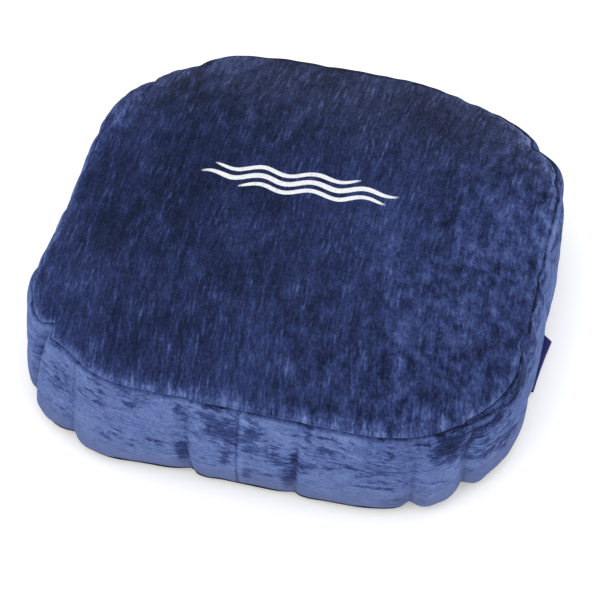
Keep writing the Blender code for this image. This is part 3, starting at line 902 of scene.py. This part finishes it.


# Painted highlights along the rim of the top panel: turn, reach along, distance in, reach and amount
RIM_HIGHLIGHTS = (
    (1.52, 0.07, 0.006, 0.007, 0.15),
    (1.25, 0.05, 0.004, 0.005, 0.1),
    (2.68, 0.075, 0.009, 0.009, 0.16),
    (3.08, 0.09, 0.001, 0.004, 0.22),
)


# Lightness of the pile: its level on the top panel and on the side band, raised on the side band as
# painted sheen, how much steep and level cloth change it as painted sheen, and how much darker it is
# painted as shade at the hem and in a crease
TOP_PILE = 0.182
SIDE_PILE_AND_SHEEN = 0.745
PAINTED_SHEEN_BY_SLOPE = 0.36
HEM_SHADE = 0.105
CREASE_SHADE = 0.17
SEAM_SHADE_WIDTH = 0.0016  # half the width of the painted shade along the top seam


def paint(mesh, panel_name):
    """Store the weave's place and the pile's lightness on a panel, with its painted sheen, shade and
    highlights.
    """
    points = coordinates(mesh)
    facing = normals(mesh)
    turn = turn_of(points)
    if panel_name == "left":
        turn = np.where(turn < 1, turn + 4, turn)
    if panel_name == "right":
        turn = np.where(turn > 3, turn - 4, turn)
    x, y, z = points.T
    if panel_name == "top":
        across = x + 0.045 * y - 0.36 * y * y
        weave = np.stack([y, across, 0 * z], 1)
    else:
        weave = np.stack([turn * QUARTER, z + 0.08 * turn * QUARTER, 0 * z], 1)
    weave += np.array((0.37, 0.11, 0)) * PANELS.index(panel_name)
    set_attribute(mesh, "weave", weave)
    # Painted sheen by slope: level cloth gets a darker pile, steep cloth a lighter one
    flat = smooth(0.40, 0.96, facing[:, 2])
    rumpled = bump(turns_apart(turn, RUMPLED), 0, 0.060)
    if panel_name == "top":
        pile = TOP_PILE + PAINTED_SHEEN_BY_SLOPE * (1 - flat) * (1 - 0.5 * rumpled)
        for across, along, reach, amount in TONES:
            away = np.hypot(x / HALF - across, y / HALF - along)
            pile += amount * bump(away, 0, reach)
        pile += crushed_spots(x, y)
        worn = smooth(0.02, 0.14, x - 0.30 * y)
        pile += 0.06 * worn
        worn += 0.45 * bump(np.hypot(x + 0.105, y - 0.130), 0, 0.050)
        life = 0.90 + 0.15 * worn
        desaturated = smooth(0.05, 0.15, y)
        past_seam = np.maximum(inset_of(points) - TOP_INSET, 0)
        # Painted highlight along the front rim of the top panel; the rear of the top panel is made
        # darker
        front_rim_highlight = bump(past_seam, 0.004, 0.006) * smooth(-0.09, -0.15, y)
        pile += 0.16 * front_rim_highlight - 0.035 * smooth(0.04, 0.14, y)
        life += 0.45 * front_rim_highlight
        # Painted highlights along the rim
        for middle, along, inset, reach, amount in RIM_HIGHLIGHTS:
            rim_highlight = bump(turns_apart(turn, middle), 0, along) * bump(past_seam, inset, reach)
            pile += amount * rim_highlight
            life += rim_highlight * 0.5
        pile += 0.07 * rumpled * bump(past_seam, 0.006, 0.012)
        # Painted shade along the top seam, less where the seam is hidden
        pile -= 0.24 * bump(past_seam, 0, SEAM_SHADE_WIDTH) * seam_crispness(turn)
    else:
        height = band_share(z)
        # Painted sheen darkens level cloth of the side band, and painted shade darkens it towards
        # the hem
        pile = SIDE_PILE_AND_SHEEN - PAINTED_SHEEN_BY_SLOPE * flat - HEM_SHADE * smooth(0.45, 0.02, height)
        # Painted shade in the creases
        pile -= CREASE_SHADE * crease_shade(turn, height)
        # Painted shade in the groove of the join at the middle of the front, and a painted highlight
        # on the ridge beside it
        join = turns_apart(turn, 0.0)
        pile += 0.06 * bump(join, 0.0030, 0.0016) - 0.20 * bump(join, 0, 0.0010)
        desaturated = smooth(0.45, 0.05, height)
        # Painted shade along the top seam, less where the seam is hidden
        pile -= 0.32 * bump(z, TOP_SEAM, SEAM_SHADE_WIDTH) * seam_crispness(turn)
        pile -= 0.22 * rumpled * smooth(0.50, 0.95, height)
        worn = 0.30 - 1.1 * smooth(0.35, 0.10, height)
        life = 0.22 + 0.78 * smooth(0.05, 0.38, height)
        for middle, at_height, along, up, amount in MARKS:
            worn += amount * bump(turns_apart(turn, middle), 0, along) * bump(z, at_height, up)
    for name, values in (("pile", pile), ("worn", worn), ("life", life), ("desaturated", desaturated)):
        set_attribute(mesh, name, values)


def keep_between(mesh, low, high):
    """A copy of a mesh with only its faces between two heights, which keeps its shading."""
    facing = normals(mesh)
    set_attribute(mesh, "shading", facing)
    bm = bmesh.new()
    bm.from_mesh(mesh)
    gone = [face for face in bm.faces if not low < face.calc_center_median().z < high]
    bmesh.ops.delete(bm, geom=gone, context="FACES")
    part = mesh_from(bm, mesh.name)
    shading = np.zeros(len(part.vertices) * 3, np.float32)
    part.attributes["shading"].data.foreach_get("vector", shading)
    mesh.attributes.remove(mesh.attributes["shading"])
    part.attributes.remove(part.attributes["shading"])
    part.shade_smooth()
    part.normals_split_custom_set_from_vertices(shading.reshape(-1, 3))
    return part


def build_cover():
    """The plush cover, cut into its panels. Returns the mesh of the top panel."""
    cover, numbers = cover_mesh()
    simulate_cover(cover, numbers)
    subdivide(cover, 2)
    sculpt_cover(cover)
    plush = plush_material("plush_top", 0.30, 0.0, 0.13)
    band_plush = plush_material("plush_side", 0.10, 0.42, 0.0)

    top = panel_piece(cover, "top")
    paint(top, "top")
    piece = add_piece("cover_top", top, plush)
    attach(piece, "seat")
    stand_for("top_panel")
    cover_top = piece.data

    nodes = {"left": "boxing_left", "right": "boxing_right", "zip_upper": "zip_band_upper"}
    edges = (-1.0, LEVELS[1], LEVELS[2], 1.0)
    for panel_name, node in nodes.items():
        whole = panel_piece(cover, panel_name)
        paint(whole, panel_name)
        for index, (band, lower_body, upper_body) in enumerate(BANDS):
            part = keep_between(whole, edges[index], edges[index + 1])
            piece = add_piece("cover_%s_%s" % (panel_name, band), part, band_plush)
            stretch(piece, lower_body, upper_body, *LEVELS[index:index + 2])
            stand_for(node)
    lower = panel_piece(cover, "zip_lower")
    paint(lower, "zip_lower")
    piece = add_piece("cover_zip_lower", lower, band_plush)
    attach(piece, "base")
    stand_for("zip_band_lower")
    bpy.data.objects.remove(cover)
    return cover_top


# --- bottom panel and label

CLOTH_Z = 0.0006  # the bottom cloth stands on its rubber dots
DOT_PITCH = 0.0085
DOT_R = 0.0017
DOT_SIDES = 8
HEM_ROLL = 0.0145  # the bottom panel curves up to its seam within this distance


def bottom_height(inset):
    """Height of the bottom panel at a distance in from its edge."""
    lift = max(1 - inset / HEM_ROLL, 0) ** 1.6
    return CLOTH_Z + (BOTTOM_SEAM - CLOTH_Z) * lift


def grid_mesh(name, points):
    """A mesh from an array of points [i][j]."""
    rows, columns = points.shape[:2]
    faces = [(i * columns + j, (i + 1) * columns + j, (i + 1) * columns + j + 1, i * columns + j + 1)
             for i in range(rows - 1) for j in range(columns - 1)]
    mesh = bpy.data.meshes.new(name)
    mesh.from_pydata(points.reshape(-1, 3).tolist(), [], faces)
    mesh.update()
    return mesh


def build_bottom():
    material = grip_material("grip_cloth")
    edge = BOTTOM_INSET + 0.0002
    points = panel_grid(edge, bottom_height)
    piece = add_piece("cover_bottom", grid_mesh("cover_bottom", points), material)
    subdivide(piece, 1)
    points = coordinates(piece.data)
    turn = turn_of(points)
    inset = np.maximum(inset_of(points) - edge, 0)
    near = bump(inset, 0, 0.012)
    points += outward(turn) * (band_push(turn, np.zeros(len(turn))) * near)[:, None]
    points[:, 2] += hem_line(turn) * near + 0.0003 * field(points, 0.03, 4) * (near < 0.5)
    points[:, 2] = np.maximum(points[:, 2], CLOTH_Z)
    set_coordinates(piece.data, points)
    piece.data.shade_smooth()
    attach(piece, "base")
    stand_for("bottom_panel")

    spots = np.arange(-RUN - CORNER_R, RUN + CORNER_R, DOT_PITCH)
    verts, faces = [], []
    for row, y in enumerate(spots):
        for x in spots + (row % 2) * DOT_PITCH / 2:
            if inset_of(np.array([[x, y, 0.0]]))[0] < BOTTOM_INSET + HEM_ROLL:
                continue
            first = len(verts)
            for radius, z in ((DOT_R, CLOTH_Z + 0.0004), (DOT_R * 0.75, CLOTH_Z - 0.0004)):
                for step in range(DOT_SIDES):
                    angle = step * math.tau / DOT_SIDES
                    verts.append((x + radius * math.cos(angle), y + radius * math.sin(angle), z))
            verts.append((x, y, 0.0))
            for step in range(DOT_SIDES):
                low = first + step
                after = first + (step + 1) % DOT_SIDES
                faces.append((after, low, low + DOT_SIDES, after + DOT_SIDES))
                faces.append((after + DOT_SIDES, low + DOT_SIDES, first + 2 * DOT_SIDES))
    mesh = bpy.data.meshes.new("grip_dots")
    mesh.from_pydata(verts, [], faces)
    rubber = speckled_material("grip_rubber", (0.030, 0.030, 0.032), (0.012, 0.012, 0.013), 900,
                               0.55, 0.0001)
    piece = add_piece("grip_dots", mesh, rubber)
    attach(piece, "base")
    stand_for("bottom_panel")


# Outer edge of the label's ribbon: y from front to rear, and x
LABEL_EDGE = ((-0.0430, 0.1790), (-0.0335, 0.1796), (-0.0217, 0.1806), (-0.0055, 0.1823),
              (0.0060, 0.1842))
LABEL_ROOT = 0.1745
LABEL_STEPS = 40
FOLD_STEPS = 16
FOLD_REACH = 0.0011  # how far the fold's round end stands out
FOLD_RISE = 0.0009
ROOT_RISE = 0.0005  # the ribbon's two ends lie this far above and below its middle


def build_label():
    """A folded ribbon, caught in the bottom seam by its two ends, so that its fold shows."""
    low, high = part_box("side_label")
    middle = (low.z + high.z) / 2
    ys = np.linspace(LABEL_EDGE[0][0], LABEL_EDGE[-1][0], LABEL_STEPS + 1)
    edge = np.interp(ys, [y for y, x in LABEL_EDGE], [x for y, x in LABEL_EDGE])
    section = []
    for step in range(FOLD_STEPS + 1):
        angle = math.pi * (step / FOLD_STEPS - 0.5)
        section.append((math.cos(angle), math.sin(angle)))
    points = np.zeros((len(ys), FOLD_STEPS + 3, 3))
    for i, y in enumerate(ys):
        wave = 0.0004 * math.sin(y * 210) + 0.0002 * math.sin(y * 520)
        ring = [(LABEL_ROOT, middle - ROOT_RISE)]
        ring += [(edge[i] - FOLD_REACH + FOLD_REACH * c, middle + FOLD_RISE * s)
                 for c, s in section]
        ring += [(LABEL_ROOT, middle + ROOT_RISE)]
        skew = 0.9 * (i / (len(ys) - 1)) ** 2
        points[i] = [(x, y + skew * (edge[i] - x), z + wave * (x - LABEL_ROOT) / 0.008)
                     for x, z in ring]
    piece = add_piece("label_ribbon", grid_mesh("label_ribbon", points),
                      woven_material("ribbon", (0.030, 0.034, 0.215), (0.018, 0.021, 0.145), 1900,
                                     0.50, 0.00012, Specular_IOR_Level=0.25))
    thick = piece.modifiers.new("thickness", "SOLIDIFY")
    thick.thickness = 0.0003
    apply_modifiers(piece)
    piece.data.shade_smooth()
    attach(piece, "base")
    stand_for("side_label")


# --- emblem

EMBLEM_MIDDLE = (-0.0115, 0.0330)
EMBLEM_TILT = math.radians(5.0)
EMBLEM_LENGTH = 0.150
WAVE_LENGTH = 0.0375
WAVE_REACH = 0.0026
STITCH = 0.0009  # from one stitch to the next
STITCH_RISE = 0.0007
# Each strand: offset along and across, share of the length, and width
STRANDS = (
    (-0.010, 0.0088, 0.74, 0.0048),
    (0.000, 0.0, 1.00, 0.0058),
    (0.010, -0.0088, 0.74, 0.0048),
)
STRAND_STEPS = 8  # across a strand


def build_emblem(top):
    """Three parallel embroidered waves, laid on the top panel."""
    tree = BVHTree.FromPolygons([vert.co for vert in top.vertices],
                                [tuple(face.vertices) for face in top.polygons])
    thread = thread_material("thread")
    for number, (shift, offset, share, width) in enumerate(STRANDS):
        length = EMBLEM_LENGTH * share
        steps = int(length / STITCH) * 2
        points = np.zeros((steps + 1, STRAND_STEPS + 1, 3))
        for i in range(steps + 1):
            along = length * (i / steps - 0.5)
            taper = math.sqrt(max(1 - abs(2 * i / steps - 1) ** 5, 0))
            phase = (along + shift) * math.tau / WAVE_LENGTH
            slope = math.cos(phase) * WAVE_REACH * math.tau / WAVE_LENGTH
            across = Vector((-slope, 1)).normalized()
            for j in range(STRAND_STEPS + 1):
                side = 2 * j / STRAND_STEPS - 1
                reach = side * (width / 2 * taper + 0.00012 * (i % 2))
                u = along + shift + across.x * reach
                v = offset + math.sin(phase) * WAVE_REACH + across.y * reach
                x = EMBLEM_MIDDLE[0] + u * math.cos(EMBLEM_TILT) - v * math.sin(EMBLEM_TILT)
                y = EMBLEM_MIDDLE[1] + u * math.sin(EMBLEM_TILT) + v * math.cos(EMBLEM_TILT)
                hit = tree.ray_cast(Vector((x, y, 0.2)), Vector((0, 0, -1)))[0]
                rise = STITCH_RISE * (1 - side ** 4) * (1.0 if i % 2 else 0.62)
                points[i, j] = (x, y, hit.z - 0.0003 + rise * taper)
        piece = add_piece("emblem_strand_%d" % (number + 1), grid_mesh("strand", points), thread)
        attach(piece, "seat")


# --- inside

def soft_copy(node, name, material, voxel, shrink, lumps):
    """A soft, slightly uneven copy of a CAD solid, kept clear of the cover's creases."""
    piece = add_piece(name, cad_mesh(node), material)
    remesh = piece.modifiers.new("remesh", "REMESH")
    remesh.mode = "VOXEL"
    remesh.voxel_size = voxel
    soft = piece.modifiers.new("soft", "SMOOTH")
    soft.iterations = 4
    apply_modifiers(piece)
    mesh = piece.data
    points = coordinates(mesh)
    facing = normals(mesh)
    uneven = lumps * field(points, 0.022, 5) - shrink
    points += facing * uneven[:, None]
    turn = turn_of(points)
    height = np.clip(band_share(points[:, 2]), 0, 1)
    near = bump(np.maximum(inset_of(points), 0), 0, 0.022)
    drawn = seam_draw(turn) * smooth(0.3, 1.0, height)
    drawn *= bump(np.maximum(inset_of(points) - TOP_INSET, 0), 0, 0.035)
    points += outward(turn) * (np.minimum(band_push(turn, height), 0) * near - drawn)[:, None]
    set_coordinates(mesh, points)
    mesh.shade_smooth()
    return piece


def cut_between(piece, low, high):
    """A copy of a piece's mesh with only what lies between two heights."""
    bm = bmesh.new()
    bm.from_mesh(piece.data)
    for level, side in ((low, 1), (high, -1)):
        slice_at(bm, level, plane_no=(0, 0, -side), clear_outer=True)
    return mesh_from(bm, piece.name)


WALL_LEVELS = (0.0100, 0.0220, 0.0345, 0.0475)  # heights that bound the foam walls' bands; they are cut at the middle two
FILM_LEVEL = 0.0350  # the upper film is cut at this height
FELT_LEVELS = (0.0437, 0.0492)  # heights given for the felt pad
PUCKERS = 46  # round the weld of the air cell
PUCKER_DEPTH = 0.0006


def build_inside():
    wadding = speckled_material("wadding", (0.88, 0.88, 0.87), (0.72, 0.73, 0.74), 420, 0.95, 0.0012)
    soft_foam = speckled_material("soft_foam", (0.82, 0.76, 0.55), (0.64, 0.57, 0.38), 1300, 0.93,
                                  0.0006)
    felt = speckled_material("felt", (0.50, 0.49, 0.47), (0.33, 0.32, 0.31), 700, 0.95, 0.0005,
                             (1, 0.25, 1))
    firm_foam = chip_foam_material("firm_foam")
    vinyl = speckled_material("vinyl_film", (0.30, 0.41, 0.58), (0.22, 0.31, 0.46), 90, 0.26,
                              0.0010, Coat_Weight=0.3)

    piece = soft_copy("top_wadding", "wadding_layer", wadding, 0.0030, 0.0022, 0.0003)
    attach(piece, "seat")
    stand_for("top_wadding")
    piece = soft_copy("comfort_foam", "comfort_foam_slab", soft_foam, 0.0040, 0.0022, 0.0004)
    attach(piece, "seat")
    stand_for("comfort_foam")
    piece = soft_copy("rocker_pad", "felt_pad", felt, 0.0022, 0.0004, 0.0002)
    stretch(piece, "rocker", "seat", *FELT_LEVELS)
    stand_for("rocker_pad")
    piece = soft_copy("base_foam", "base_foam_slab", firm_foam, 0.0025, 0.0005, 0.0002)
    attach(piece, "base")
    stand_for("base_foam")

    for side in ("front", "left", "right", "rear_left", "rear_right"):
        node = "foam_wall_" + side
        whole = soft_copy(node, node + "_block", firm_foam, 0.0040, 0.0012, 0.0004)
        for index, (band, lower_body, upper_body) in enumerate(BANDS):
            low = WALL_LEVELS[index] if index else 0.0
            high = WALL_LEVELS[index + 1] if index < 2 else 1.0
            piece = add_piece("%s_%s" % (node, band), cut_between(whole, low, high), firm_foam)
            stretch(piece, lower_body, upper_body, *WALL_LEVELS[index:index + 2])
            stand_for(node)
        bpy.data.objects.remove(whole)

    for node in ("air_cell_lower", "air_cell_upper"):
        piece = add_piece(node + "_film", cad_mesh(node), vinyl)
        weld = piece.modifiers.new("weld", "WELD")
        weld.merge_threshold = 0.00005
        apply_modifiers(piece)
        detail = piece.modifiers.new("detail", "SUBSURF")
        detail.subdivision_type = "SIMPLE"
        detail.levels = 2
        apply_modifiers(piece)
        points = coordinates(piece.data)
        around = np.arctan2(points[:, 1], points[:, 0])
        radius = np.hypot(points[:, 0], points[:, 1])
        pucker = np.sin(around * PUCKERS) * smooth(0.085, 0.110, radius)
        pucker *= smooth(0.119, 0.112, radius)
        points[:, 2] += PUCKER_DEPTH * pucker * (1 if node.endswith("upper") else -1)
        set_coordinates(piece.data, points)
        piece.data.shade_smooth()
        if node.endswith("lower"):
            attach(piece, "base")
            stand_for(node)
            continue
        low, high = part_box(node)
        levels = (low.z, FILM_LEVEL, high.z)
        for index, (band, lower_body, upper_body) in enumerate(BANDS[:2]):
            part = cut_between(piece, levels[index] - 1 + index, levels[index + 1] + index)
            layer = add_piece("%s_film_%s" % (node, band), part, vinyl)
            stretch(layer, lower_body, upper_body, *levels[index:index + 2])
            stand_for(node)
        bpy.data.objects.remove(piece)


def build_hardware():
    """Better materials for the CAD nodes whose shapes stay."""
    tape = woven_material("zip_tape", (0.030, 0.037, 0.105), (0.014, 0.018, 0.052), 1100, 0.80,
                          0.0003)
    teeth = speckled_material("zip_teeth", (0.040, 0.048, 0.125), (0.022, 0.027, 0.076), 800, 0.42,
                              0.0001)
    metal = metal_material("zip_metal")
    valve = speckled_material("valve", (0.76, 0.78, 0.80), (0.62, 0.65, 0.68), 220, 0.35, 0.0002,
                              Coat_Weight=0.2)
    finishes = {
        tape: ("zip_tape_upper", "zip_tape_lower"),
        teeth: ("zip_coil_upper", "zip_coil_lower"),
        metal: ("zip_slider", "zip_pull", "zip_stop_left", "zip_stop_right"),
        valve: ("filler_tube", "valve_plug"),
    }
    for material, nodes in finishes.items():
        for node in nodes:
            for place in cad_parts[node].material_slots:
                place.material = material


make_camera()
make_studio()
build_bottom()
build_label()
build_emblem(build_cover())
build_inside()
build_hardware()
